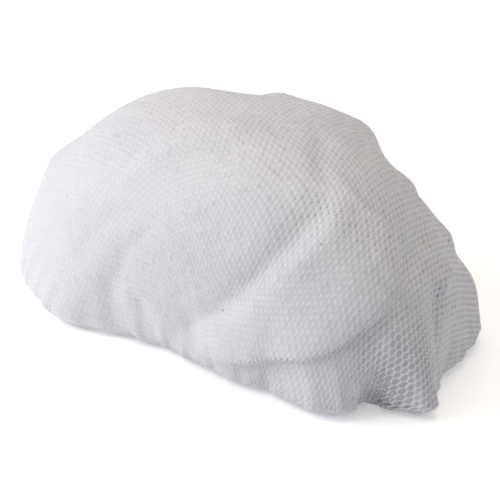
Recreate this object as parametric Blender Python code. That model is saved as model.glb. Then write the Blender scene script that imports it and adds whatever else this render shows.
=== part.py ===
"""Hairnet: a puffed bag of fine netting gathered into an elastic hem, standing on its opening.

Metres, +Z up. The origin is on the surface below the middle of the bag, +X runs along the bag's
long side and -Y is its front. A place on the net is given as on the flat round net before it was
puffed: along (to +X) and across (to +Y), from 0 at the middle of the crown to 1 at the hem.
"""
import math
from collections import namedtuple

import bmesh
import bpy
import numpy as np

# Sizes of the puffed bag
BAG_LENGTH = 0.264
BAG_WIDTH = 0.158
BAG_HEIGHT = 0.113
WIDEST_HEIGHT = 0.009
FRONT_SHARE = 0.36
LEAN_BACK = 0.018
TUCK_ANGLE = math.radians(8)
TUCK_REACH = 0.007
RIM_HEIGHT = 0.0012
FULLNESS = 2.2
FRONT_SQUARENESS = 2.4
BACK_SQUARENESS = 2.0

# Sizes of the cloth and of its edging
NET_WALL = 0.0012
HEM_HEIGHT = 0.0042
HEM_WIDTH = 0.0036
HEM_ROUNDING = 0.0008
SEAM_GAP = 0.0009
GATHER_DEPTH = 0.0012
GATHER_START = 0.78

# Divisions of the surfaces
GATHERS = 24
COLUMNS_PER_GATHER = 4
ROWS = 30
LAST_ROW = 0.988
HALF_COLUMNS_ABOVE = 0.40
QUARTER_COLUMNS_ABOVE = 0.15
FOLD_SAMPLES = 48

# Bulges and notches of the hem: where round the bag and how wide, in degrees from +X, and how far
# they reach as a share of the bag's height. They grow from LOBE_START down to the widest line,
# and the hem follows the bulges less far out.
Lobe = namedtuple("Lobe", "name bearing half_width reach")
LOBE_START = 0.60
LOBE_GROWTH = 2.0
LOBE_LOSS = 0.4
LOBES = (
    Lobe("left end lobe", 218, 12, 0.05),
    Lobe("front left lobe", 240, 13, 0.13),
    Lobe("front hollow", 258, 18, -0.08),
    Lobe("front dip", 298, 5, -0.04),
    Lobe("front right lobe", 309, 13, 0.11),
    Lobe("right dip", 328, 11, -0.06),
    Lobe("right lobe", 347, 15, 0.06),
    Lobe("right end notch", 12, 12, -0.04),
    Lobe("right end lobe", 34, 10, 0.05),
    Lobe("back right notch", 64, 7, -0.04),
    Lobe("back lobe", 96, 12, 0.03),
    Lobe("back left notch", 135, 9, -0.05),
)

# Soft swellings and hollows of the crown: place and spread on the flat net, and height as a share
# of the bag's height
Puff = namedtuple("Puff", "name along across spread swell")
PUFFS = (
    Puff("crown rise", -0.33, 0.15, 0.20, 0.05),
    Puff("crown dip", -0.17, 0.28, 0.07, -0.04),
    Puff("back rise", 0.05, 0.36, 0.14, 0.045),
    Puff("back dip", 0.29, 0.38, 0.09, -0.07),
    Puff("right shoulder hollow", 0.46, 0.48, 0.12, -0.03),
)

# Folds: three places that the fold line runs through and its half width, on the flat net, its
# relief on the line (a valley below zero), and how far the cloth stands out on its left and in on
# its right, looking from start to end, as shares of the bag's height. Each rises over a taper at
# either end of its line, and all of them flatten between FOLD_LIMIT and the hem.
Fold = namedtuple("Fold", "name start middle end half_width relief step")
FOLDS = (
    Fold("long crease", (-0.13, -0.93), (0.20, -0.64), (0.25, -0.02), 0.050, -0.045, -0.030),
    Fold("long crest", (0.23, -0.55), (0.31, -0.30), (0.23, 0.02), 0.045, 0.025, 0.000),
    Fold("crown pleat", (0.11, 0.13), (0.17, 0.00), (0.23, -0.15), 0.045, -0.022, 0.000),
    Fold("overhang", (0.02, -0.98), (0.47, -0.66), (0.57, -0.11), 0.060, 0.000, 0.050),
    Fold("shoulder crest", (0.26, -0.09), (0.37, -0.07), (0.46, -0.04), 0.040, 0.020, 0.000),
    Fold("shoulder crease", (0.47, 0.20), (0.54, 0.00), (0.57, -0.17), 0.050, -0.040, 0.000),
    Fold("tail crest", (0.66, -0.31), (0.67, -0.46), (0.66, -0.64), 0.040, 0.035, 0.000),
    Fold("tail crease", (0.63, 0.09), (0.75, 0.00), (0.91, -0.04), 0.040, -0.022, 0.000),
    Fold("tail pleat", (0.75, -0.48), (0.80, -0.52), (0.88, -0.53), 0.050, -0.040, 0.000),
    Fold("left upper crease", (-0.40, -0.70), (-0.30, -0.57), (-0.16, -0.48), 0.040, -0.025, 0.000),
    Fold("left lower crease", (-0.29, -0.81), (-0.20, -0.64), (-0.09, -0.54), 0.040, -0.022, 0.000),
    Fold("crown swell", (-0.26, -0.44), (-0.10, -0.18), (0.02, 0.04), 0.070, 0.018, 0.000),
    Fold("back long crease", (-0.36, 0.88), (-0.22, 0.64), (0.02, 0.48), 0.050, -0.040, 0.020),
    Fold("back right crease", (0.44, 0.83), (0.33, 0.66), (0.11, 0.59), 0.045, -0.035, 0.000),
    Fold("left end crease", (-0.89, 0.32), (-0.66, 0.29), (-0.46, 0.40), 0.050, -0.035, 0.000),
)
FOLD_TAPER = 0.25
FOLD_LIMIT = 0.90
STEP_SHARPNESS = 1.6
STEP_FADE = 3.0


def plan_outline(bearing):
    """Widest line seen from above: an oval, squarer and shallower in front than behind."""
    run = np.cos(bearing)
    side = np.sin(bearing)
    power = np.where(side < 0, FRONT_SQUARENESS, BACK_SQUARENESS)
    pull = (np.abs(run) ** power + np.abs(side) ** power) ** (-1 / power)
    reach = BAG_WIDTH * np.where(side < 0, FRONT_SHARE, 1 - FRONT_SHARE)
    return BAG_LENGTH / 2 * run * pull, reach * side * pull


def lobe_reach(bearing):
    """How far the bulges and notches of the edge move the widest line outward."""
    total = np.zeros_like(bearing)
    for lobe in LOBES:
        turn = (np.degrees(bearing) - lobe.bearing + 180) % 360 - 180
        total = total + lobe.reach * BAG_HEIGHT * np.exp(-(turn / lobe.half_width) ** 2)
    return total


def base_surface(bearing, fall):
    """Smooth bag: a full dome down to its widest line, then rolled under and in to the hem."""
    swing = fall * (math.pi / 2 + TUCK_ANGLE)
    tuck = np.clip((swing - math.pi / 2) / TUCK_ANGLE, 0, 1)
    swing = np.minimum(swing, math.pi / 2)
    spread = np.sin(swing) ** (2 / FULLNESS)
    dome = np.abs(np.cos(swing)) ** (2 / FULLNESS)
    x_edge, y_edge = plan_outline(bearing)
    edge = np.hypot(x_edge, y_edge)
    widest = math.pi / 2 / (math.pi / 2 + TUCK_ANGLE)
    flare = np.clip((fall - LOBE_START) / (widest - LOBE_START), 0, 1) ** LOBE_GROWTH
    lobe = lobe_reach(bearing)
    inward = (TUCK_REACH + LOBE_LOSS * np.maximum(lobe, 0)) * (1 - np.cos(tuck * math.pi / 2))
    grow = 1 + (lobe * flare - inward) / edge
    x = x_edge * spread * grow
    y = y_edge * spread * grow + LEAN_BACK * (1 - spread ** 2)
    below = RIM_HEIGHT + (WIDEST_HEIGHT - RIM_HEIGHT) * (1 - np.sin(tuck * math.pi / 2))
    z = np.where(tuck > 0, below, WIDEST_HEIGHT + (BAG_HEIGHT - WIDEST_HEIGHT) * dome)
    return np.stack([x, y, z + 0 * x], axis=-1)


def outward(bearing, fall):
    """Outward direction of the smooth bag, from small steps to either side on it."""
    step = 0.001
    fall = np.clip(fall, 4 * step, 1)
    round_step = base_surface(bearing + step, fall) - base_surface(bearing - step, fall)
    down_step = base_surface(bearing, fall) - base_surface(bearing, fall - step)
    normal = np.cross(down_step, round_step)
    return normal / np.linalg.norm(normal, axis=-1, keepdims=True)


def fold_path(fold):
    """Curve through a fold's three places, as points and unit sideways directions."""
    start, middle, end = (np.array(place) for place in (fold.start, fold.middle, fold.end))
    bend = 2 * middle - (start + end) / 2
    share = np.linspace(0, 1, FOLD_SAMPLES)[:, None]
    points = (1 - share) ** 2 * start + 2 * share * (1 - share) * bend + share ** 2 * end
    run = 2 * (1 - share) * (bend - start) + 2 * share * (end - bend)
    run = run / np.linalg.norm(run, axis=1, keepdims=True)
    left = np.stack([-run[:, 1], run[:, 0]], axis=1)
    return points, run, left


def end_taper(share):
    """Lets a fold rise from nothing at each end of its line, over a share of its length."""
    ends = np.minimum(share, 1 - share) / FOLD_TAPER
    rise = np.clip(ends, 0, 1)
    return rise * rise * (3 - 2 * rise)


def fold_relief(along, across):
    """Height of all folds and swellings at places on the flat net."""
    place = np.stack([along, across], axis=-1)
    height = np.zeros_like(along)
    for puff in PUFFS:
        away = np.hypot(along - puff.along, across - puff.across) / puff.spread
        height = height + puff.swell * np.exp(-away ** 2)
    for fold in FOLDS:
        points, run, left = fold_path(fold)
        gap = np.linalg.norm(place[..., None, :] - points, axis=-1)
        near = gap.argmin(axis=-1)
        offset = place - points[near]
        length = np.linalg.norm(np.diff(points, axis=0), axis=1).sum()
        share = near / (FOLD_SAMPLES - 1) + (offset * run[near]).sum(axis=-1) / length
        reach = (offset * left[near]).sum(axis=-1) / fold.half_width
        ridge = fold.relief * np.exp(-reach ** 2)
        step = fold.step * np.tanh(STEP_SHARPNESS * reach) * np.exp(-np.abs(reach) / STEP_FADE)
        height = height + end_taper(share) * (ridge + step)
    return height * BAG_HEIGHT


def net_surface(bearing, fall):
    """Outer face of the net: the smooth bag, its folds and swellings, and the hem's gathers."""
    relief = fold_relief(fall * np.cos(bearing), fall * np.sin(bearing))
    free = 1 - np.clip((fall - FOLD_LIMIT) / (1 - FOLD_LIMIT), 0, 1) ** 2
    drawn = np.clip((fall - GATHER_START) / (1 - GATHER_START), 0, 1) ** 2
    gather = GATHER_DEPTH * drawn * np.cos(GATHERS * bearing)
    normal = outward(bearing, fall)
    points = base_surface(bearing, fall) + normal * (relief * free)[..., None]
    level = normal.copy()
    level[..., 2] = 0
    return points + level * gather[..., None]


def middle_of(points):
    """Middle of the bag seen from above, which the origin lies below."""
    flat = points.reshape(-1, 3)
    middle = (flat.min(axis=0) + flat.max(axis=0)) / 2
    middle[2] = 0
    return middle


def ring_columns(fall):
    """Columns of a ring of the net: fewer near the crown, where a ring is short."""
    columns = GATHERS * COLUMNS_PER_GATHER
    if fall < QUARTER_COLUMNS_ABOVE:
        return columns // 4
    if fall < HALF_COLUMNS_ABOVE:
        return columns // 2
    return columns


def net_rings():
    """Rings of points on the net's outer face, from the crown's middle down to the rim."""
    rings = []
    for fall in (*(row / ROWS for row in range(ROWS)), LAST_ROW, 1.0):
        count = ring_columns(fall) if fall else 1
        bearing = np.arange(count) * 2 * math.pi / count
        rings.append(net_surface(bearing, np.full(count, fall)))
    middle = middle_of(np.concatenate(rings))
    return [ring - middle for ring in rings]


def ring_faces(above, upper, below, lower):
    """Faces between a ring and the next one down, which has as many columns or twice as many."""
    faces = []
    share = lower // upper
    for i in range(upper):
        j = (i + 1) % upper
        left = below + i * share
        right = below + (i + 1) * share % lower
        if share == 1:
            faces.append((above + i, left, right, above + j))
        else:
            faces.append((above + i, left, left + 1))
            faces.append((above + i, left + 1, above + j))
            faces.append((above + j, left + 1, right))
    return faces


def make_object(name, vertices, faces, material):
    """New mesh object of the given points and faces, shaded smooth, facing outward."""
    mesh = bpy.data.meshes.new(name)
    mesh.from_pydata([tuple(point) for point in vertices], [], faces)
    sheet = bmesh.new()
    sheet.from_mesh(mesh)
    bmesh.ops.recalc_face_normals(sheet, faces=sheet.faces)
    sheet.to_mesh(mesh)
    sheet.free()
    mesh.shade_smooth()
    mesh.materials.append(material)
    item = bpy.data.objects.new(name, mesh)
    bpy.context.scene.collection.objects.link(item)
    return item


def make_material(name, colour, roughness):
    """Plain dielectric finish."""
    material = bpy.data.materials.new(name)
    material.use_nodes = True
    shader = material.node_tree.nodes["Principled BSDF"]
    shader.inputs["Base Color"].default_value = (*colour, 1)
    shader.inputs["Roughness"].default_value = roughness
    shader.inputs["Metallic"].default_value = 0
    return material


def build_crown_net(rings):
    """The netting bag: one sheet from the crown to its rim, thickened inward, open below."""
    first = len(rings[1])
    faces = [(0, 1 + i, 1 + (i + 1) % first) for i in range(first)]
    above = 1
    for ring, following in zip(rings[1:], rings[2:]):
        below = above + len(ring)
        faces.extend(ring_faces(above, len(ring), below, len(following)))
        above = below
    material = make_material("white_netting", (0.84, 0.84, 0.87), 0.6)
    net = make_object("crown_net", np.concatenate(rings), faces, material)
    wall = net.modifiers.new("wall", "SOLIDIFY")
    wall.thickness = NET_WALL
    wall.offset = -1
    wall.use_rim = True
    return net


def hem_section():
    """Section of the elastic hem: offset outward from the rim's line and height, flat below."""
    half = HEM_WIDTH / 2
    flat = half - HEM_ROUNDING
    return ((-flat, 0), (flat, 0), (half, HEM_HEIGHT / 2), (flat, HEM_HEIGHT),
            (-flat, HEM_HEIGHT), (-half, HEM_HEIGHT / 2))


def build_elastic_hem(rim):
    """The elastic edging: one ring just inside the net's rim, which rests flat on the surface."""
    line = rim[:, :2]
    tangent = np.roll(line, -1, axis=0) - np.roll(line, 1, axis=0)
    tangent = tangent / np.linalg.norm(tangent, axis=1, keepdims=True)
    away = np.stack([tangent[:, 1], -tangent[:, 0]], axis=1)
    line = line - away * (SEAM_GAP + HEM_WIDTH / 2)
    section = hem_section()
    rings = [np.column_stack([line + away * offset, np.full(len(line), height)])
             for offset, height in section]
    vertices = np.stack(rings, axis=1).reshape(-1, 3)
    sides, count = len(section), len(line)
    faces = []
    for i in range(count):
        here, there = i * sides, (i + 1) % count * sides
        for k in range(sides):
            m = (k + 1) % sides
            faces.append((here + k, there + k, there + m, here + m))
    material = make_material("white_elastic", (0.86, 0.86, 0.88), 0.5)
    return make_object("elastic_hem", vertices, faces, material)


def main():
    for item in list(bpy.data.objects):
        bpy.data.objects.remove(item, do_unlink=True)
    rings = net_rings()
    build_crown_net(rings)
    build_elastic_hem(rings[-1])


main()
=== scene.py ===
"""Hairnet: netting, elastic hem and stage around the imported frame, laid out as an add-on.

Metres, +Z up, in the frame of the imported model. A place on the flat net is (along, across): along
runs to +X, across to +Y, from 0 at the middle of the crown to 1 at the hem.
"""
import math
from collections import namedtuple

import bmesh
import bpy
import numpy as np
from bpy.props import FloatProperty, FloatVectorProperty, PointerProperty
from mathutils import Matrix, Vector


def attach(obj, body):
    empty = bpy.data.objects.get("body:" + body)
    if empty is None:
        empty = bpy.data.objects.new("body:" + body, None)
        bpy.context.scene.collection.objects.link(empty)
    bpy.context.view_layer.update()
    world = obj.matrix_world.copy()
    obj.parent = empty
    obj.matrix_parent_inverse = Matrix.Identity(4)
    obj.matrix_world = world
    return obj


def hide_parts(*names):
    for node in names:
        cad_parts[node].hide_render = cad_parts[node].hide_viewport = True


bl_info = {
    "name": "Hairnet",
    "version": (1, 0, 0),
    "blender": (4, 5, 0),
    "location": "View3D > Sidebar > Hairnet",
    "description": "Builds a puffed hairnet of honeycomb netting with an elastic hem",
    "category": "Object",
}

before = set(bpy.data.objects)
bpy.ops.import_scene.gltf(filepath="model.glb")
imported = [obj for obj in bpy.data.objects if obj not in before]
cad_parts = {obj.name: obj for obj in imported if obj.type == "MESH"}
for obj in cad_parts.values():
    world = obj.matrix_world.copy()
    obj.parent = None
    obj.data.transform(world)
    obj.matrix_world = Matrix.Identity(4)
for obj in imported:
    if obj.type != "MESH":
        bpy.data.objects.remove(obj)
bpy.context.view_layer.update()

# Sizes of the smooth bag, as in the solids. FRONT_SHARE of its width lies in front of the crown,
# LEAN_BACK moves the crown back, and below the widest line the net turns in by TUCK_REACH to the
# rim. MIDDLE is the middle of its box seen from above, where the frame has its origin
BAG_LENGTH = 0.264
BAG_WIDTH = 0.158
BAG_HEIGHT = 0.113
WIDEST_HEIGHT = 0.009
FRONT_SHARE = 0.36
LEAN_BACK = 0.018
TUCK_ANGLE = math.radians(8)
TUCK_REACH = 0.007
RIM_HEIGHT = 0.0012
FULLNESS = 2.2
FRONT_SQUARENESS = 2.4
BACK_SQUARENESS = 2.0
NET_WALL = 0.0012
SEAM_GAP = 0.0009
MIDDLE = (0.00222, 0.02192, 0)

# Bulges and notches of the hem: bearing and half width in degrees, reach as a share of the height;
# they grow from LOBE_START down to the widest line, and the hem follows the bulges less far out
Lobe = namedtuple("Lobe", "name bearing half_width reach")
LOBE_START = 0.60
LOBE_GROWTH = 2.0
LOBE_LOSS = 0.4
LOBES = (
    Lobe("left end lobe", 218, 12, 0.05),
    Lobe("front left lobe", 240, 13, 0.135),
    Lobe("front left notch", 252, 4, -0.045),
    Lobe("front hollow", 260, 18, -0.07),
    Lobe("front dip", 297, 5, -0.06),
    Lobe("front right lobe", 307, 12, 0.11),
    Lobe("right dip", 327, 9, -0.105),
    Lobe("right lobe", 339, 10, 0.115),
    Lobe("right end notch", 8, 9, -0.055),
    Lobe("right end lobe", 34, 11, 0.065),
    Lobe("back right notch", 64, 7, -0.04),
    Lobe("back lobe", 96, 12, 0.03),
    Lobe("back left notch", 135, 9, -0.05),
)

# Soft swellings and hollows of the crown: place and spread on the flat net, share of the height
Puff = namedtuple("Puff", "name along across spread swell")
PUFFS = (
    Puff("crown rise", -0.33, 0.15, 0.20, 0.05),
    Puff("crown dip", -0.17, 0.28, 0.07, -0.04),
    Puff("back rise", 0.05, 0.36, 0.14, 0.045),
    Puff("back dip", 0.29, 0.38, 0.09, -0.07),
    Puff("right shoulder hollow", 0.46, 0.48, 0.12, -0.03),
    Puff("left bump", -0.62, -0.09, 0.08, 0.030),
    Puff("crown bump", -0.09, 0.30, 0.05, 0.025),
    Puff("back bump", 0.14, 0.40, 0.06, 0.032),
    Puff("shoulder bump", 0.30, 0.52, 0.05, 0.025),
    Puff("tail bump", 0.53, 0.34, 0.05, 0.028),
    Puff("end bump", 0.66, 0.46, 0.08, 0.035),
)

# Folds: three places on the fold line and its half width on the flat net, relief on the line as a
# share of the height, and where there is one, the step from its right side up to its left as a
# share of the height, and how far the cloth laps over the line, on the flat net
Fold = namedtuple("Fold", "name start middle end half_width relief step lap", defaults=(0.0, 0.0))
FOLDS = (
    Fold("long crease", (-0.13, -0.93), (0.20, -0.64), (0.25, -0.02), 0.045, -0.024, -0.012),
    Fold("long crest", (0.23, -0.55), (0.31, -0.30), (0.23, 0.02), 0.040, 0.013),
    Fold("crown pleat", (0.11, 0.13), (0.17, 0.00), (0.23, -0.15), 0.035, -0.012),
    Fold("overhang", (0.02, -0.95), (0.46, -0.65), (0.57, -0.11), 0.034, 0.000, 0.030, 0.016),
    Fold("shoulder crest", (0.26, -0.09), (0.37, -0.07), (0.46, -0.04), 0.032, 0.015),
    Fold("shoulder crease", (0.47, 0.20), (0.54, 0.00), (0.57, -0.17), 0.040, -0.031),
    Fold("tail crest", (0.66, -0.31), (0.67, -0.46), (0.66, -0.64), 0.034, 0.021),
    Fold("tail crease", (0.63, 0.09), (0.75, 0.00), (0.91, -0.04), 0.032, -0.026),
    Fold("tail pleat", (0.75, -0.48), (0.80, -0.52), (0.88, -0.53), 0.040, -0.032),
    Fold("left upper crease", (-0.40, -0.70), (-0.30, -0.57), (-0.16, -0.48), 0.032, -0.006),
    Fold("left lower crease", (-0.29, -0.81), (-0.20, -0.64), (-0.09, -0.54), 0.032, -0.007),
    Fold("crown swell", (-0.26, -0.44), (-0.10, -0.18), (0.02, 0.04), 0.060, 0.020),
    Fold("back long crease", (-0.36, 0.88), (-0.22, 0.64), (0.02, 0.48), 0.042, -0.042, 0.020),
    Fold("back right crease", (0.44, 0.83), (0.33, 0.66), (0.11, 0.59), 0.036, -0.037),
    Fold("left end crease", (-0.89, 0.32), (-0.66, 0.29), (-0.46, 0.40), 0.042, -0.037),
    Fold("tail rib", (0.63, 0.26), (0.65, 0.14), (0.68, 0.10), 0.026, 0.022),
    Fold("shoulder rib", (0.42, -0.20), (0.50, -0.19), (0.58, -0.19), 0.030, 0.009),
    Fold("hem pleat left", (-0.26, -0.70), (-0.29, -0.80), (-0.32, -0.90), 0.026, -0.009),
    Fold("hem pleat middle", (-0.21, -0.74), (-0.24, -0.82), (-0.27, -0.93), 0.024, 0.009),
    Fold("hem pleat right", (-0.15, -0.78), (-0.18, -0.85), (-0.20, -0.94), 0.026, -0.009),
)

# A fold rises over FOLD_TAPER of its line from each end, and fades from FOLD_LIMIT of the fall to
# the hem. Its step and its lap are tanh curves that fade over so many half widths
FOLD_TAPER = 0.25
FOLD_LIMIT = 0.90
FOLD_SAMPLES = 32
STEP_SHARPNESS = 1.6
STEP_FADE = 3.0
LAP_SHARPNESS = 2.0
LAP_FADE = 2.2

# Gathers drawn up by the hem: waves round the bag, phase, depth and where each starts to show
Gather = namedtuple("Gather", "name count phase depth start")
GATHERS = (
    Gather("broad", 24, 0.0, 0.0012, 0.78),
    Gather("middle", 53, 1.3, 0.0009, 0.72),
    Gather("fine", 97, 0.4, 0.0006, 0.82),
)

# Slow wander of the net's rows on the flat cloth: wave vector in radians per metre, size in metres
Wander = namedtuple("Wander", "name u_rate v_rate phase u_size v_size")
WANDERS = (
    Wander("long", 31, 17, 0.6, 0.0016, -0.0011),
    Wander("cross", -22, 47, 2.1, 0.0009, 0.0012),
    Wander("short", 83, 62, 4.0, 0.0004, -0.0004),
    Wander("skew", 71, -96, 1.2, -0.0003, 0.0004),
)

# Twists of the cloth as it was puffed up: place and spread on the flat net, turn in degrees
Twist = namedtuple("Twist", "name along across spread turn")
TWISTS = (
    Twist("right of the crown", 0.18, -0.05, 0.30, 18),
    Twist("left of the front", -0.02, -0.66, 0.22, -20),
    Twist("front panel", 0.40, -0.66, 0.22, -14),
)

# Length of the flat net from the crown to the hem
CLOTH_REACH = 0.165

# Where the net is stretched and its holes gape, or drawn up and they close: three places on a line
# on the flat net, its half width, what the hole's share gains and how much the painted shade in the
# hollows deepens there: darker under the overhang, along creases and pleats and at the tail, and
# lighter where it is negative, on the front panel and the smooth crown
Gape = namedtuple("Gape", "name start middle end half_width hole depth")
GAPES = (
    Gape("under the overhang", (0.02, -0.94), (0.46, -0.66), (0.56, -0.30), 0.018, 1.8, 0.06),
    Gape("tail", (0.60, -0.60), (0.73, -0.35), (0.82, -0.08), 0.170, -0.4, 0.36),
    Gape("tail pleat", (0.70, -0.42), (0.79, -0.47), (0.88, -0.44), 0.065, 2.4, 0.50),
    Gape("tail column", (0.62, 0.09), (0.73, 0.03), (0.79, -0.06), 0.035, 0.6, 0.12),
    Gape("long crease", (-0.10, -0.90), (0.20, -0.62), (0.25, -0.02), 0.040, 0.3, 0.09),
    Gape("front panel", (0.00, -0.90), (0.33, -0.60), (0.46, -0.14), 0.120, -0.8, -0.20),
    Gape("smooth crown", (-0.66, -0.40), (-0.24, -0.44), (0.10, -0.12), 0.110, -0.5, -0.16),
    Gape("smooth oval", (0.01, -0.81), (0.09, -0.82), (0.17, -0.80), 0.050, -0.6, -0.12),
    Gape("bright streak", (-0.15, -0.90), (-0.10, -0.87), (-0.05, -0.83), 0.030, -0.6, -0.12),
)

# Rows of the net: their turn from the bag's long side, and how far strands stray from them as a
# share of the cell's width
CELL_TURN = math.radians(35)
STRAND_SLACK = 0.055
SLACK_SEED = 5

# Holes: chance in their widths and what they gain along the bag, as shares of the usual width, how
# far they stray in half widths of the cell, how far their corners are pulled in, how much narrower
# they are towards the pillars and longer between them, and the limits of their share of the cell
HOLE_SPREAD = 0.15
HOLE_SLOPE = 0.60
HOLE_SEED = 7
HOLE_DRIFT = 0.05
DRIFT_SEED = 11
CORNER_PULL = 0.94
HOLE_SQUEEZE = 0.30
HOLE_LIMITS = (0.04, 0.75)

# Painted shade in the hollows between the strands: how deep it is at the crown, what that gains
# along the bag towards its end away from the key light and from the chance in the hole, and its
# limits
PAINTED_SHADE_DEPTH = 0.28
PAINTED_SHADE_SLOPE = 0.34
PAINTED_SHADE_CHANCE = 0.30
PAINTED_SHADE_LIMITS = (0.14, 1)

# Strands: ring place at the middle of a pillar, how far the shoulder lies from a strand's line
# towards the hole and how much further at a pillar, its height in half thicknesses, how much
# lower the thin strands are and how much painted shade darkens them, and relief of a flat net and
# its gain with the painted shade in the hollows
PILLAR_PLACE = 11
SHOULDER_PLACE = 0.46
PILLAR_WIDENING = 0.14
SHOULDER_HEIGHT = -0.10
THIN_STRAND = 0.45
THIN_PAINTED_SHADE = 0.50
FLAT_RELIEF = 0.20
RELIEF_SLOPE = 1.8

# Fall of the last cells and of the crown piece's edge, and rows of the table of the flat cloth
LAST_CELL = 0.985
CROWN_LIMIT = 0.55
BEARING_ROWS = 360
FALL_ROWS = 160

# Hem: columns round it, sides and power of its rounded square section, and slow waves round it
# that make its gathers deeper and shallower
Sway = namedtuple("Sway", "name share count phase")
HEM_COLUMNS = 1800
HEM_SIDES = 16
HEM_SQUARENESS = 0.6
SWAYS = (
    Sway("slow", 0.4, 11, 0),
    Sway("quick", 0.3, 29, 1),
)

# Finish of the yarns: sheen, rate and depth of the fibres, and the drift of the colour between its
# two tints; rates are per metre
Yarn = namedtuple("Yarn", "name sheen fibre_rate fibre_depth")
NYLON = Yarn("nylon_netting", 0.15, 3200, 0.00015)
COVERED_ELASTIC = Yarn("covered_elastic", 0.2, 2600, 0.0002)
SHEEN_ROUGHNESS = 0.5
FIBRE_DETAIL = 3
FIBRE_STRENGTH = 0.5
DRIFT_RATE = 28
DRIFT_DETAIL = 2
DRIFT_BAND = (0.35, 0.65)

# Lights: place right of the bag, above the floor and towards the camera, side and colour
Light = namedtuple("Light", "name right above back size colour")
KEY_LIGHT = Light("key", -1.6, 0.9, 0.0, 1.4, (0.93, 0.94, 1.0))
TOP_LIGHT = Light("top", 0.1, 1.9, -0.3, 1.6, (1.0, 0.85, 0.67))
SKY_COLOUR = (0.91, 0.94, 1.0)

# Floor, and the camera's picture: its width and its middle, right of and above the origin, in
# pixels, the sensor's width in millimetres, and how far past the bag it sees
FLOOR_SIZE = 12
FLOOR_ROUGHNESS = 0.9
PICTURE_WIDTH = 500
PICTURE_MIDDLE = (-13.4, 53.4)
SENSOR_WIDTH = 36
FAR_REACH = 20

# Lengths and falls below these count as none
LEAST_LENGTH = 1e-12
LEAST_FALL = 1e-6


class NetSettings(bpy.types.PropertyGroup):
    """Sizes and colours of the netting."""
    cell_pitch: FloatProperty(
        name="Cell pitch", description="Distance between the middles of two cells",
        default=0.0037, min=0.002, max=0.01, unit="LENGTH", precision=4)
    hole_share: FloatProperty(
        name="Hole share", description="Width of a hole as a share of the cell's width",
        default=0.12, min=0.05, max=0.8, subtype="FACTOR")
    strand_thickness: FloatProperty(
        name="Strand thickness", description="Thickness of the knitted strands",
        default=0.0006, min=0.0002, max=0.0012, unit="LENGTH", precision=5)
    colour: FloatVectorProperty(
        name="Colour", description="Colour of the nylon", subtype="COLOR",
        default=(0.66, 0.66, 0.675), min=0, max=1)
    shade: FloatVectorProperty(
        name="Second colour", description="Tint that the colour drifts to", subtype="COLOR",
        default=(0.63, 0.625, 0.655), min=0, max=1)
    # Painted shade: the tint that the colour is multiplied by in the hollows between the strands
    # and, in part, on the thin strands
    hollow: FloatVectorProperty(
        name="Hollows", description="Tint of the cloth between the raised strands",
        subtype="COLOR",
        default=(0.50, 0.50, 0.52), min=0, max=1)
    roughness: FloatProperty(
        name="Roughness", description="Roughness of the nylon", default=0.6, min=0, max=1)


class HemSettings(bpy.types.PropertyGroup):
    """Sizes and colours of the elastic hem."""
    height: FloatProperty(
        name="Height", description="Height of the hem", default=0.0042, unit="LENGTH", precision=4)
    width: FloatProperty(
        name="Width", description="Width of the hem", default=0.0036, unit="LENGTH", precision=4)
    rib_pitch: FloatProperty(
        name="Rib pitch", description="Distance between two gathers of the hem",
        default=0.0026, unit="LENGTH", precision=4)
    rib_depth: FloatProperty(
        name="Rib depth", description="Depth between two gathers of the hem",
        default=0.0004, unit="LENGTH", precision=5)
    colour: FloatVectorProperty(
        name="Colour", description="Colour of the yarn cover", subtype="COLOR",
        default=(0.62, 0.62, 0.64), min=0, max=1)
    shade: FloatVectorProperty(
        name="Second colour", description="Tint that the colour drifts to", subtype="COLOR",
        default=(0.58, 0.58, 0.61), min=0, max=1)
    roughness: FloatProperty(
        name="Roughness", description="Roughness of the yarn cover", default=0.55, min=0, max=1)


class StageSettings(bpy.types.PropertyGroup):
    """Floor, lights and camera."""
    floor_colour: FloatVectorProperty(
        name="Floor colour", description="Colour of the floor", subtype="COLOR",
        default=(0.95, 0.95, 0.95), min=0, max=1)
    floor_glow: FloatProperty(
        name="Floor glow", description="Light that the floor gives off", default=0.26, min=0)
    key_power: FloatProperty(
        name="Key light", description="Power of the light from the left", default=24.0,
        unit="POWER")
    top_power: FloatProperty(
        name="Top light", description="Power of the light from above", default=15.0, unit="POWER")
    sky: FloatProperty(
        name="Sky", description="Strength of the even light all round", default=0.46, min=0)
    azimuth: FloatProperty(
        name="Camera azimuth", description="Bearing of the camera from the front",
        default=math.radians(35), subtype="ANGLE")
    elevation: FloatProperty(
        name="Camera elevation", description="Angle of the camera above the floor",
        default=math.radians(32), subtype="ANGLE")
    lens: FloatProperty(
        name="Lens", description="Focal length in millimetres", default=300.0)
    pixel: FloatProperty(
        name="Pixel", description="Width of a pixel at the origin", default=0.000541,
        unit="LENGTH", precision=6)


def plan_outline(bearing):
    """Widest line from above: (|cos|^p + |sin|^p)^(-1/p) times half the length and the depth."""
    run, side = np.cos(bearing), np.sin(bearing)
    power = np.where(side < 0, FRONT_SQUARENESS, BACK_SQUARENESS)
    pull = (np.abs(run) ** power + np.abs(side) ** power) ** (-1 / power)
    reach = BAG_WIDTH * np.where(side < 0, FRONT_SHARE, 1 - FRONT_SHARE)
    return BAG_LENGTH / 2 * run * pull, reach * side * pull


def lobe_reach(bearing):
    """Sum over the lobes of reach times exp(-(turn / half width) squared)."""
    turn = np.degrees(bearing)
    total = np.zeros_like(turn)
    for lobe in LOBES:
        away = (turn - lobe.bearing + 180) % 360 - 180
        total = total + lobe.reach * BAG_HEIGHT * np.exp(-(away / lobe.half_width) ** 2)
    return total


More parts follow.
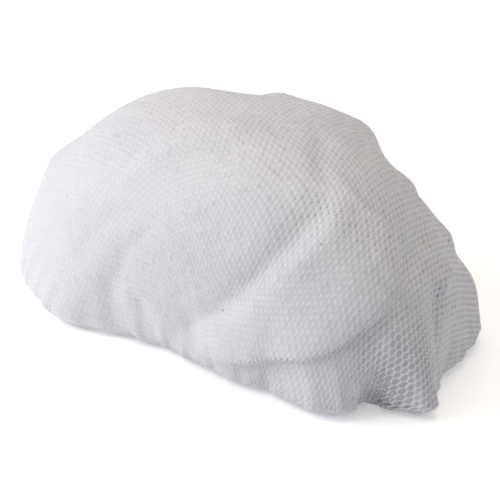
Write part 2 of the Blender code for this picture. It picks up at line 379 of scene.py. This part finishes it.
def base_surface(bearing, fall):
    """Smooth bag: spread sin(swing)^(2/fullness), dome cos(swing)^(2/fullness), and below the
    widest line a quarter round in to the rim."""
    swing = fall * (math.pi / 2 + TUCK_ANGLE)
    tuck = np.clip((swing - math.pi / 2) / TUCK_ANGLE, 0, 1)
    swing = np.minimum(swing, math.pi / 2)
    spread = np.sin(swing) ** (2 / FULLNESS)
    dome = np.abs(np.cos(swing)) ** (2 / FULLNESS)
    x_edge, y_edge = plan_outline(bearing)
    edge = np.hypot(x_edge, y_edge)
    widest = math.pi / 2 / (math.pi / 2 + TUCK_ANGLE)
    flare = np.clip((fall - LOBE_START) / (widest - LOBE_START), 0, 1) ** LOBE_GROWTH
    lobe = lobe_reach(bearing)
    inward = (TUCK_REACH + LOBE_LOSS * np.maximum(lobe, 0)) * (1 - np.cos(tuck * math.pi / 2))
    grow = 1 + (lobe * flare - inward) / edge
    x = x_edge * spread * grow
    y = y_edge * spread * grow + LEAN_BACK * (1 - spread ** 2)
    below = RIM_HEIGHT + (WIDEST_HEIGHT - RIM_HEIGHT) * (1 - np.sin(tuck * math.pi / 2))
    z = np.where(tuck > 0, below, WIDEST_HEIGHT + (BAG_HEIGHT - WIDEST_HEIGHT) * dome)
    return np.stack([x, y, z], axis=-1)


def base_normal(bearing, fall):
    """Outward direction: cross product of small differences down and round the smooth bag."""
    step = 0.001
    fall = np.clip(fall, 4 * step, 1)
    round_step = base_surface(bearing + step, fall) - base_surface(bearing - step, fall)
    down_step = base_surface(bearing, fall) - base_surface(bearing, fall - step)
    return unit(np.cross(down_step, round_step))


def unit(vectors):
    """Vectors divided by their lengths."""
    lengths = np.linalg.norm(vectors, axis=-1, keepdims=True)
    return vectors / np.maximum(lengths, LEAST_LENGTH)


def near_line(place, line):
    """Share along, and sideways distance in half widths from, a line's curve: the nearest of its
    samples plus the offset along the run. The curve is quadratic through the three places."""
    start, middle, end = (np.array(spot, dtype=float)
                          for spot in (line.start, line.middle, line.end))
    bend = 2 * middle - (start + end) / 2
    t = np.linspace(0, 1, FOLD_SAMPLES)[:, None]
    points = (1 - t) ** 2 * start + 2 * t * (1 - t) * bend + t ** 2 * end
    run = unit(2 * (1 - t) * (bend - start) + 2 * t * (end - bend))
    left = np.stack([-run[:, 1], run[:, 0]], axis=1)
    gap = (place[:, None, 0] - points[:, 0]) ** 2 + (place[:, None, 1] - points[:, 1]) ** 2
    near = gap.argmin(axis=1)
    offset = place - points[near]
    length = np.linalg.norm(np.diff(points, axis=0), axis=1).sum()
    share = near / (FOLD_SAMPLES - 1) + (offset * run[near]).sum(axis=1) / length
    reach = (offset * left[near]).sum(axis=1) / line.half_width
    return share, reach, left[near]


def end_taper(share):
    """Smoothstep from 0 at each end of a line to 1 over a share of its length."""
    rise = np.clip(np.minimum(share, 1 - share) / FOLD_TAPER, 0, 1)
    return rise * rise * (3 - 2 * rise)


def fold_field(place):
    """Height of the folds, relief exp(-reach^2) + step tanh(reach), and the shift of the cloth
    across each lapped line, lap tanh(reach) exp(-(reach / fade)^2)."""
    height = np.zeros(len(place))
    shift = np.zeros_like(place)
    for puff in PUFFS:
        away = np.hypot(place[:, 0] - puff.along, place[:, 1] - puff.across) / puff.spread
        height += puff.swell * BAG_HEIGHT * np.exp(-away ** 2)
    for fold in FOLDS:
        share, reach, left = near_line(place, fold)
        taper = end_taper(share)
        ridge = fold.relief * np.exp(-reach ** 2)
        step = fold.step * np.tanh(STEP_SHARPNESS * reach) * np.exp(-np.abs(reach) / STEP_FADE)
        height += taper * (ridge + step) * BAG_HEIGHT
        if fold.lap:
            lap = fold.lap * np.tanh(LAP_SHARPNESS * reach) * np.exp(-(reach / LAP_FADE) ** 2)
            shift -= (taper * lap)[:, None] * left
    return height, shift


def gather_depth(bearing, fall):
    """Sum of the gathers' waves, each growing with the square of the way from its start."""
    total = np.zeros_like(bearing)
    for gather in GATHERS:
        drawn = np.clip((fall - gather.start) / (1 - gather.start), 0, 1) ** 2
        total += gather.depth * drawn * np.cos(gather.count * bearing + gather.phase)
    return total


def net_surface(bearing, fall):
    """Middle of the net: the smooth bag at the shifted place, plus folds along its normal and
    gathers along the level part of that normal."""
    place = np.stack([fall * np.cos(bearing), fall * np.sin(bearing)], axis=1)
    height, shift = fold_field(place)
    free = 1 - np.clip((fall - FOLD_LIMIT) / (1 - FOLD_LIMIT), 0, 1) ** 2
    place = place + shift * free[:, None]
    moved = np.hypot(place[:, 0], place[:, 1])
    turned = np.where(moved > LEAST_FALL, np.arctan2(place[:, 1], place[:, 0]), bearing)
    normal = base_normal(turned, moved)
    points = base_surface(turned, moved) + normal * (height * free - NET_WALL / 2)[:, None]
    level = normal * np.array([1, 1, 0])
    return points + level * gather_depth(bearing, fall)[:, None] - np.array(MIDDLE)


def unrolled_bag():
    """Table of the cloth spread flat: bearing on the cloth of each bearing on the bag, length of
    each line from the crown to the hem, and fall at even steps of that length."""
    bearing = np.linspace(-math.pi, math.pi, BEARING_ROWS + 1)
    fall = np.linspace(0, 1, FALL_ROWS + 1)
    points = base_surface(bearing[:, None] + 0 * fall, fall[None, :] + 0 * bearing[:, None])
    lengths = np.linalg.norm(np.diff(points, axis=1), axis=2)
    lengths = np.concatenate([np.zeros((len(bearing), 1)), np.cumsum(lengths, axis=1)], axis=1)
    even = np.linspace(0, 1, FALL_ROWS + 1)
    falls = np.array([np.interp(even, row / row[-1], fall) for row in lengths])
    x_edge, y_edge = plan_outline(bearing)
    flat_bearing = np.unwrap(np.arctan2(y_edge, x_edge))
    return flat_bearing, bearing, lengths[:, -1], falls


def from_flat(flat, table):
    """Bearing and fall on the bag of places on the cloth spread flat, by the table."""
    flat_bearing, bearing, whole, falls = table
    angle = np.arctan2(flat[:, 1], flat[:, 0])
    row = np.interp(angle, flat_bearing, np.arange(len(bearing)))
    low = np.minimum(row.astype(int), len(bearing) - 2)
    part = row - low
    length = whole[low] * (1 - part) + whole[low + 1] * part
    share = np.clip(np.hypot(flat[:, 0], flat[:, 1]) / length, 0, 1) * FALL_ROWS
    col = np.minimum(share.astype(int), FALL_ROWS - 1)
    rest = share - col
    upper = falls[low, col] * (1 - rest) + falls[low, col + 1] * rest
    lower = falls[low + 1, col] * (1 - rest) + falls[low + 1, col + 1] * rest
    turn = bearing[low] * (1 - part) + bearing[low + 1] * part
    return turn, upper * (1 - part) + lower * part


# Twelve places round a cell in quarter steps of its width and of its corner's reach: a corner at
# every even place and the middle of a side at every odd one
CELL_RING = ((2, 2), (1, 3), (0, 4), (-1, 3), (-2, 2), (-2, 0),
             (-2, -2), (-1, -3), (0, -4), (1, -3), (2, -2), (2, 0))

# Half a cell's width as a share of its corner's reach, and a row's step as a share of the width
HEX_RATIO = 0.866

# Whole number that stands for a place of the lattice: shifted above 0, then its run in millions
KEY_SHIFT = 100000
KEY_BASE = 1000000


def honeycomb(pitch, reach):
    """Cells of a hexagonal lattice within reach: middles, shared ring places and their indices.
    Every second row lies half a cell further on, and ring places with the same key are one."""
    rows = int(reach / (pitch * HEX_RATIO)) + 2
    columns = int(reach / pitch) + 2
    j, i = np.meshgrid(np.arange(-columns, columns + 1), np.arange(-rows, rows + 1))
    middle = np.stack([4 * j + 2 * (i % 2), 6 * i], axis=-1).reshape(-1, 2)
    ring = middle[:, None, :] + np.array(CELL_RING)
    keys = (ring[..., 0] + KEY_SHIFT) * KEY_BASE + ring[..., 1] + KEY_SHIFT
    _, first, index = np.unique(keys, return_index=True, return_inverse=True)
    scale = np.array([pitch / 4, pitch / math.sqrt(3) / 4])
    places = ring.reshape(-1, 2)[first] * scale
    return middle * scale, places, index.reshape(len(middle), len(CELL_RING))


def wandered(flat):
    """Places on the flat cloth turned to the rows' direction, moved by the slow waves, and turned
    round each twist by its turn times exp(-(distance / spread)^2)."""
    cos_turn, sin_turn = math.cos(CELL_TURN), math.sin(CELL_TURN)
    turned = flat @ np.array([[cos_turn, sin_turn], [-sin_turn, cos_turn]])
    moved = turned.copy()
    for wave in WANDERS:
        swing = np.sin(wave.u_rate * turned[:, 0] + wave.v_rate * turned[:, 1] + wave.phase)
        moved += swing[:, None] * np.array([wave.u_size, wave.v_size])
    for twist in TWISTS:
        offset = moved - np.array([twist.along, twist.across]) * CLOTH_REACH
        away = np.hypot(offset[:, 0], offset[:, 1]) / (twist.spread * CLOTH_REACH)
        turn = np.radians(twist.turn) * np.exp(-away ** 2)
        side = np.stack([-offset[:, 1], offset[:, 0]], axis=1)
        moved += (np.cos(turn) - 1)[:, None] * offset + np.sin(turn)[:, None] * side
    return moved


def hole_shares(bearing, fall, hole_share):
    """Hole width of each cell, its named share, gaping or closing near the named lines, and how
    deep the painted shade in the hollow between its strands is, which also grows along the bag."""
    place = np.stack([fall * np.cos(bearing), fall * np.sin(bearing)], axis=1)
    chance = np.random.default_rng(HOLE_SEED).normal(0, HOLE_SPREAD, len(place))
    width = 1 + HOLE_SLOPE * place[:, 0] + chance
    depth = PAINTED_SHADE_DEPTH + PAINTED_SHADE_SLOPE * place[:, 0] + PAINTED_SHADE_CHANCE * chance
    for gape in GAPES:
        share, reach, _ = near_line(place, gape)
        near = end_taper(share) * np.exp(-reach ** 2)
        width += gape.hole * near
        depth += gape.depth * near
    return np.clip(hole_share * width, *HOLE_LIMITS), np.clip(depth, *PAINTED_SHADE_LIMITS)


def pillar_share():
    """How far each ring place lies on one of its cell's two pillars, the thicker strands that run
    along the knitting: (1 + cos(2 turn)) / 2, by the turn from the middle of the pillar."""
    turn = (np.arange(len(CELL_RING)) - PILLAR_PLACE) * 2 * math.pi / len(CELL_RING)
    return (1 + np.cos(2 * turn)) / 2


# Outer and inner points on the strands' lines with their normals and thickness, and for each cell
# the shoulder and hole rings, the places of its ring on those lines and the depth of the painted
# shade in its hollow
Net = namedtuple("Net", "outer inner normal thick shoulder hole index depth")


def placed_cells(settings):
    """Cells laid on the bag, each place of the flat lattice by the table of the flat cloth: points
    on the strands' lines, middles of the cells, the line points of each cell's ring, and the
    middles' bearing and fall."""
    table = unrolled_bag()
    middles, places, index = honeycomb(settings.cell_pitch, table[2].max())
    middles, places = wandered(middles), wandered(places)
    bearing, fall = from_flat(middles, table)
    kept = fall < LAST_CELL
    bearing, fall = bearing[kept], fall[kept]
    used, index = np.unique(index[kept], return_inverse=True)
    slack_size = STRAND_SLACK * settings.cell_pitch
    slack = np.random.default_rng(SLACK_SEED).normal(0, slack_size, (len(used), 2))
    line = net_surface(*from_flat(places[used] + slack, table))
    centre = net_surface(bearing, fall)
    return line, centre, index.reshape(-1, len(CELL_RING)), bearing, fall


def cell_points(settings):
    """Net as cells: outer and inner points on the strands' lines and the rings round each hole.
    A ring place goes part of the way from the strand's line to its cell's middle."""
    line, centre, index, bearing, fall = placed_cells(settings)
    normals = cell_normals(centre, line, index)
    line_normal = np.zeros_like(line)
    share, depth = hole_shares(bearing, fall, settings.hole_share)
    pillar = pillar_share()
    thick, deepest = np.zeros(len(line)), np.zeros(len(line))
    for k in range(len(CELL_RING)):
        np.add.at(line_normal, index[:, k], normals)
        np.maximum.at(thick, index[:, k], pillar[k])
        np.maximum.at(deepest, index[:, k], depth)
    line_normal = unit(line_normal)
    relief = np.minimum(1, FLAT_RELIEF + RELIEF_SLOPE * deepest) * (1 - THIN_STRAND * (1 - thick))
    drift = np.random.default_rng(DRIFT_SEED).normal(0, HOLE_DRIFT, (len(centre), 2))
    side = unit(line[index[:, 0]] - line[index[:, len(CELL_RING) // 2]])
    across = unit(np.cross(normals, side))
    size = settings.cell_pitch / 2
    shift = (side * drift[:, :1] + across * drift[:, 1:]) * size
    half = settings.strand_thickness / 2
    ring = line[index] - centre[:, None, :]
    corner = np.where(np.arange(len(CELL_RING)) % 2 == 0, CORNER_PULL * HEX_RATIO, 1.0)
    corner = corner * (1 + HOLE_SQUEEZE * (1 - 2 * pillar))
    hole = centre[:, None, :] + shift[:, None, :] + ring * (share[:, None] * corner)[..., None]
    outer = line + line_normal * (half * relief)[:, None]
    inner = line - line_normal * half
    inward = (SHOULDER_PLACE + PILLAR_WIDENING * (2 * pillar - 1))[:, None]
    shoulder = line[index] * (1 - inward) + hole * inward
    shoulder = shoulder + normals[:, None, :] * half * SHOULDER_HEIGHT
    net = Net(outer, inner, line_normal, thick, shoulder, hole, index, depth)
    return net, bearing, fall


def cell_normals(centre, line, index):
    """Outward direction of each cell: the sum of the cross products round its ring."""
    ring = line[index] - centre[:, None, :]
    total = np.cross(ring, np.roll(ring, -1, axis=1)).sum(axis=1)
    return unit(total)


def net_piece(cells, net):
    """Closed mesh of some cells: strips from the strands' lines over the shoulder into each hole
    and back below to the lines, and walls where the piece ends. Its corner normals are 0, left to
    Blender, but on the strands where it joins the next piece, so that no seam shows."""
    index = net.index[cells]
    used, index = np.unique(index, return_inverse=True)
    index = index.reshape(-1, len(CELL_RING))
    count, sides, lines = len(cells), len(CELL_RING), len(used)
    ring = np.arange(count * sides).reshape(count, sides)
    top, bottom = index, index + lines
    mid, low = ring + 2 * lines, ring + 2 * lines + count * sides
    after = (np.arange(sides) + 1) % sides
    strips = []
    for near, far in ((top, mid), (mid, low), (low, bottom)):
        strips.append(np.stack([near, near[:, after], far[:, after], far], axis=-1).reshape(-1, 4))
    here, there = index.reshape(-1), index[:, after].reshape(-1)
    keys = here * (lines + 1) + there
    single = ~np.isin(keys, there * (lines + 1) + here)
    here, there = here[single], there[single]
    strips.append(np.stack([there, here, here + lines, there + lines], axis=-1))
    points = np.concatenate([net.outer[used], net.inner[used], net.shoulder[cells].reshape(-1, 3),
                             net.hole[cells].reshape(-1, 3)])
    # Strand attribute of painted shade: 1 less the shade's depth on the shoulder and hole rings,
    # and less than 1 on the thin strands' lines
    hollow = np.repeat(1 - net.depth[cells], sides)
    # Painted shade on the thin strands: pulled part of the way towards the hollow tint
    bright = 1 - THIN_PAINTED_SHADE * (1 - net.thick[used])
    strand = np.concatenate([bright, bright, hollow, hollow])
    quads = np.concatenate(strips)
    rounded = np.arange(len(quads)) < len(strips[0])
    edge_normal = np.zeros((lines, 3))
    edge_normal[here] = net.normal[used][here]
    edge_normal[there] = net.normal[used][there]
    corners = np.zeros((len(quads), 4, 3))
    corners[:len(strips[0]), :2] = edge_normal[strips[0][:, :2]]
    return points, quads, strand, rounded, corners.reshape(-1, 3)


def new_mesh(name, points, quads, material, node):
    """Mesh object at the origin from points and quads, smooth, riding on the root body."""
    mesh = bpy.data.meshes.new(name)
    mesh.vertices.add(len(points))
    mesh.vertices.foreach_set("co", points.astype(np.float32).reshape(-1))
    mesh.loops.add(quads.size)
    mesh.loops.foreach_set("vertex_index", quads.astype(np.int32).reshape(-1))
    mesh.polygons.add(len(quads))
    mesh.polygons.foreach_set("loop_start", np.arange(0, quads.size, 4, dtype=np.int32))
    mesh.polygons.foreach_set("use_smooth", np.ones(len(quads), dtype=bool))
    mesh.update(calc_edges=True)
    mesh.validate()
    mesh.materials.append(material)
    piece = bpy.data.objects.new(name, mesh)
    bpy.context.scene.collection.objects.link(piece)
    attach(piece, "root")
    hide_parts(node)
    return piece


def yarn_material(yarn, settings):
    """Spun yarn: colour drifting between two tints over centimetres, with fine fibre relief."""
    material = bpy.data.materials.new(yarn.name)
    material.use_nodes = True
    nodes, links = material.node_tree.nodes, material.node_tree.links
    shader = nodes["Principled BSDF"]
    shader.inputs["Roughness"].default_value = settings.roughness
    shader.inputs["Sheen Weight"].default_value = yarn.sheen
    shader.inputs["Sheen Roughness"].default_value = SHEEN_ROUGHNESS
    place = nodes.new("ShaderNodeTexCoord")
    drift = nodes.new("ShaderNodeTexNoise")
    drift.inputs["Scale"].default_value = DRIFT_RATE
    drift.inputs["Detail"].default_value = DRIFT_DETAIL
    links.new(place.outputs["Object"], drift.inputs["Vector"])
    ramp = nodes.new("ShaderNodeValToRGB")
    for stop, position, colour in zip(ramp.color_ramp.elements, DRIFT_BAND,
                                      (settings.colour, settings.shade)):
        stop.position = position
        stop.color = (*colour, 1)
    links.new(drift.outputs["Fac"], ramp.inputs["Fac"])
    links.new(ramp.outputs["Color"], shader.inputs["Base Color"])
    fibre = nodes.new("ShaderNodeTexNoise")
    fibre.inputs["Scale"].default_value = yarn.fibre_rate
    fibre.inputs["Detail"].default_value = FIBRE_DETAIL
    links.new(place.outputs["Object"], fibre.inputs["Vector"])
    bump = nodes.new("ShaderNodeBump")
    bump.inputs["Strength"].default_value = FIBRE_STRENGTH
    bump.inputs["Distance"].default_value = yarn.fibre_depth
    links.new(fibre.outputs["Fac"], bump.inputs["Height"])
    links.new(bump.outputs["Normal"], shader.inputs["Normal"])
    return material


def paint_hollow_shade(material, hollow):
    """Paints shade: multiplies the colour by the hollow tint where the strand attribute falls from
    1 to 0, so the hollows and the thin strands are darker.
    """
    nodes, links = material.node_tree.nodes, material.node_tree.links
    shader = nodes["Principled BSDF"]
    drift = shader.inputs["Base Color"].links[0].from_socket
    strand = nodes.new("ShaderNodeAttribute")
    strand.attribute_name = "strand"
    tint = nodes.new("ShaderNodeValToRGB")
    tint.color_ramp.elements[0].color = (*hollow, 1)
    tint.color_ramp.elements[1].color = (1, 1, 1, 1)
    mix = nodes.new("ShaderNodeMix")
    mix.data_type = "RGBA"
    mix.blend_type = "MULTIPLY"
    mix.inputs["Factor"].default_value = 1
    links.new(strand.outputs["Fac"], tint.inputs["Fac"])
    links.new(drift, mix.inputs["A"])
    links.new(tint.outputs["Color"], mix.inputs["B"])
    links.new(mix.outputs["Result"], shader.inputs["Base Color"])


def hem_ring(settings):
    """Points and quads of the hem. Its line is the rim moved in by the seam gap and half a width;
    round it goes a rounded square section, swelled by rib depth times cos(2 pi travel / pitch)
    times 1 plus the slow waves, and flat on the floor."""
    bearing = np.arange(HEM_COLUMNS) * 2 * math.pi / HEM_COLUMNS
    rim = base_surface(bearing, np.ones(HEM_COLUMNS))[:, :2] - np.array(MIDDLE[:2])
    run = unit(np.roll(rim, -1, axis=0) - np.roll(rim, 1, axis=0))
    away = np.stack([run[:, 1], -run[:, 0]], axis=1)
    line = rim - away * (SEAM_GAP + settings.width / 2)
    steps = np.linalg.norm(np.roll(line, -1, axis=0) - line, axis=1)
    whole = steps.sum()
    travel = np.concatenate([[0], np.cumsum(steps)[:-1]])
    ribs = round(whole / settings.rib_pitch)
    wave = np.cos(ribs * 2 * math.pi * travel / whole)
    sway = sum(slow.share * np.sin(slow.count * bearing + slow.phase) for slow in SWAYS)
    swell = settings.rib_depth * (wave * (1 + sway))[:, None]
    turn = np.arange(HEM_SIDES) * 2 * math.pi / HEM_SIDES
    out = (settings.width / 2 - settings.rib_depth + swell) * squared(np.cos(turn))
    up = (settings.height / 2 - settings.rib_depth + swell) * squared(np.sin(turn))
    points = np.empty((HEM_COLUMNS, HEM_SIDES, 3))
    points[..., :2] = line[:, None, :] + away[:, None, :] * out[..., None]
    points[..., 2] = np.maximum(settings.height / 2 + up, 0)
    number = np.arange(HEM_COLUMNS * HEM_SIDES).reshape(HEM_COLUMNS, HEM_SIDES)
    following = np.roll(number, -1, axis=0)
    quads = np.stack([number, following, np.roll(following, -1, axis=1),
                      np.roll(number, -1, axis=1)], axis=-1)
    return points.reshape(-1, 3), quads.reshape(-1, 4)


def squared(wave):
    """Sine or cosine pushed towards 1 and -1, for a rounded square section."""
    return np.sign(wave) * np.abs(wave) ** HEM_SQUARENESS


class HAIRNET_OT_hem(bpy.types.Operator):
    """Elastic hem: a ribbed ring that follows the net's rim and rests flat on the floor"""
    bl_idname = "hairnet.hem"
    bl_label = "Elastic hem"

    def execute(self, context):
        settings = context.scene.hairnet_hem
        points, quads = hem_ring(settings)
        material = yarn_material(COVERED_ELASTIC, settings)
        piece = new_mesh("gathered_hem", points, quads, material, "elastic_hem")
        faces_outward(piece)
        return {"FINISHED"}


def faces_outward(piece):
    """Recalculates a closed mesh's faces to point out of it."""
    sheet = bmesh.new()
    sheet.from_mesh(piece.data)
    bmesh.ops.recalc_face_normals(sheet, faces=sheet.faces)
    sheet.to_mesh(piece.data)
    sheet.free()


class HAIRNET_OT_netting(bpy.types.Operator):
    """Honeycomb netting in adjoining pieces: the crown and the four quarters of the sides"""
    bl_idname = "hairnet.netting"
    bl_label = "Netting"

    def execute(self, context):
        settings = context.scene.hairnet_net
        net, bearing, fall = cell_points(settings)
        material = yarn_material(NYLON, settings)
        # Painted shade: the hollow tint darkens the hollows and the thin strands by the strand
        # attribute
        paint_hollow_shade(material, settings.hollow)
        crown = fall < CROWN_LIMIT
        front, left = np.sin(bearing) < 0, np.cos(bearing) < 0
        parts = (("net_crown", crown),
                 ("net_front_left", ~crown & front & left),
                 ("net_front_right", ~crown & front & ~left),
                 ("net_back_left", ~crown & ~front & left),
                 ("net_back_right", ~crown & ~front & ~left))
        for name, chosen in parts:
            cells = np.flatnonzero(chosen)
            points, quads, strand, rounded, corners = net_piece(cells, net)
            piece = new_mesh(name, points, quads, material, "crown_net")
            piece.data.polygons.foreach_set("use_smooth", rounded)
            piece.data.normals_split_custom_set(corners)
            # The strand attribute carries the painted shade of the hollows and the thin strands
            layer = piece.data.attributes.new("strand", "FLOAT", "POINT")
            layer.data.foreach_set("value", strand.astype(np.float32))
        return {"FINISHED"}


def pale_floor(settings):
    """Wide plain floor that gives off a little light, so that it stays pale."""
    bpy.ops.mesh.primitive_plane_add(size=FLOOR_SIZE)
    floor = bpy.context.object
    floor.name = "floor"
    material = bpy.data.materials.new("pale_floor")
    material.use_nodes = True
    shader = material.node_tree.nodes["Principled BSDF"]
    shader.inputs["Base Color"].default_value = (*settings.floor_colour, 1)
    shader.inputs["Roughness"].default_value = FLOOR_ROUGHNESS
    shader.inputs["Emission Color"].default_value = (1, 1, 1, 1)
    shader.inputs["Emission Strength"].default_value = settings.floor_glow
    floor.data.materials.append(material)


def even_sky(settings):
    """Even light from all round."""
    world = bpy.data.worlds.new("even_light")
    world.use_nodes = True
    background = world.node_tree.nodes["Background"]
    background.inputs["Color"].default_value = (*SKY_COLOUR, 1)
    background.inputs["Strength"].default_value = settings.sky
    bpy.context.scene.world = world


def photo_camera(settings, right, up, back):
    """Camera whose pixel is of the set width at the origin: distance = width x lens / sensor."""
    data = bpy.data.cameras.new("camera")
    data.lens = settings.lens
    data.sensor_width = SENSOR_WIDTH
    data.dof.use_dof = False
    camera = bpy.data.objects.new("camera", data)
    bpy.context.scene.collection.objects.link(camera)
    distance = PICTURE_WIDTH * settings.pixel * data.lens / data.sensor_width
    target = (PICTURE_MIDDLE[0] * right + PICTURE_MIDDLE[1] * up) * settings.pixel
    camera.location = target + back * distance
    camera.rotation_euler = back.to_track_quat("Z", "Y").to_euler()
    data.clip_end = distance + FAR_REACH
    bpy.context.scene.camera = camera


class HAIRNET_OT_stage(bpy.types.Operator):
    """Pale floor, soft lights and the camera at the photograph's angle"""
    bl_idname = "hairnet.stage"
    bl_label = "Stage"

    def execute(self, context):
        settings = context.scene.hairnet_stage
        context.scene.view_settings.view_transform = "Standard"
        right, up, back = view_axes(settings.azimuth, settings.elevation)
        pale_floor(settings)
        even_sky(settings)
        soft_light(KEY_LIGHT, settings.key_power, right, back)
        soft_light(TOP_LIGHT, settings.top_power, right, back)
        photo_camera(settings, right, up, back)
        return {"FINISHED"}


def view_axes(azimuth, elevation):
    """Right, up and back directions of a camera at a bearing from the front and an elevation."""
    sin_a, cos_a = math.sin(azimuth), math.cos(azimuth)
    sin_e, cos_e = math.sin(elevation), math.cos(elevation)
    right = Vector((cos_a, sin_a, 0))
    up = Vector((-sin_e * sin_a, sin_e * cos_a, cos_e))
    back = Vector((sin_a * cos_e, -cos_a * cos_e, sin_e))
    return right, up, back


def soft_light(light, power, right, back):
    """Square area light that looks at the middle of the bag."""
    data = bpy.data.lights.new(light.name, "AREA")
    data.shape = "SQUARE"
    data.size = light.size
    data.energy = power
    data.color = light.colour
    place = light.right * right + light.above * Vector((0, 0, 1)) + light.back * back
    lamp = bpy.data.objects.new(light.name, data)
    lamp.location = place
    away = place - Vector((0, 0, BAG_HEIGHT / 2))
    lamp.rotation_euler = away.to_track_quat("Z", "Y").to_euler()
    bpy.context.scene.collection.objects.link(lamp)


class HAIRNET_PT_panel(bpy.types.Panel):
    """Sizes, colours and steps of the hairnet"""
    bl_label = "Hairnet"
    bl_space_type = "VIEW_3D"
    bl_region_type = "UI"
    bl_category = "Hairnet"

    def draw(self, context):
        layout = self.layout
        scene = context.scene
        steps = ((scene.hairnet_net, HAIRNET_OT_netting), (scene.hairnet_hem, HAIRNET_OT_hem),
                 (scene.hairnet_stage, HAIRNET_OT_stage))
        for settings, step in steps:
            box = layout.box()
            for name in settings.bl_rna.properties.keys():
                if name not in ("rna_type", "name"):
                    box.prop(settings, name)
            box.operator(step.bl_idname)


CLASSES = (NetSettings, HemSettings, StageSettings, HAIRNET_OT_netting, HAIRNET_OT_hem,
           HAIRNET_OT_stage, HAIRNET_PT_panel)


def register():
    """Registers the classes and hangs their settings on the scene."""
    for item in CLASSES:
        bpy.utils.register_class(item)
    bpy.types.Scene.hairnet_net = PointerProperty(type=NetSettings)
    bpy.types.Scene.hairnet_hem = PointerProperty(type=HemSettings)
    bpy.types.Scene.hairnet_stage = PointerProperty(type=StageSettings)


def unregister():
    """Takes the settings and the classes away again."""
    del bpy.types.Scene.hairnet_stage
    del bpy.types.Scene.hairnet_hem
    del bpy.types.Scene.hairnet_net
    for item in reversed(CLASSES):
        bpy.utils.unregister_class(item)


def main():
    """Builds the stage, the netting and the hem."""
    register()
    bpy.ops.hairnet.stage()
    bpy.ops.hairnet.netting()
    bpy.ops.hairnet.hem()


if __name__ == "__main__":
    main()
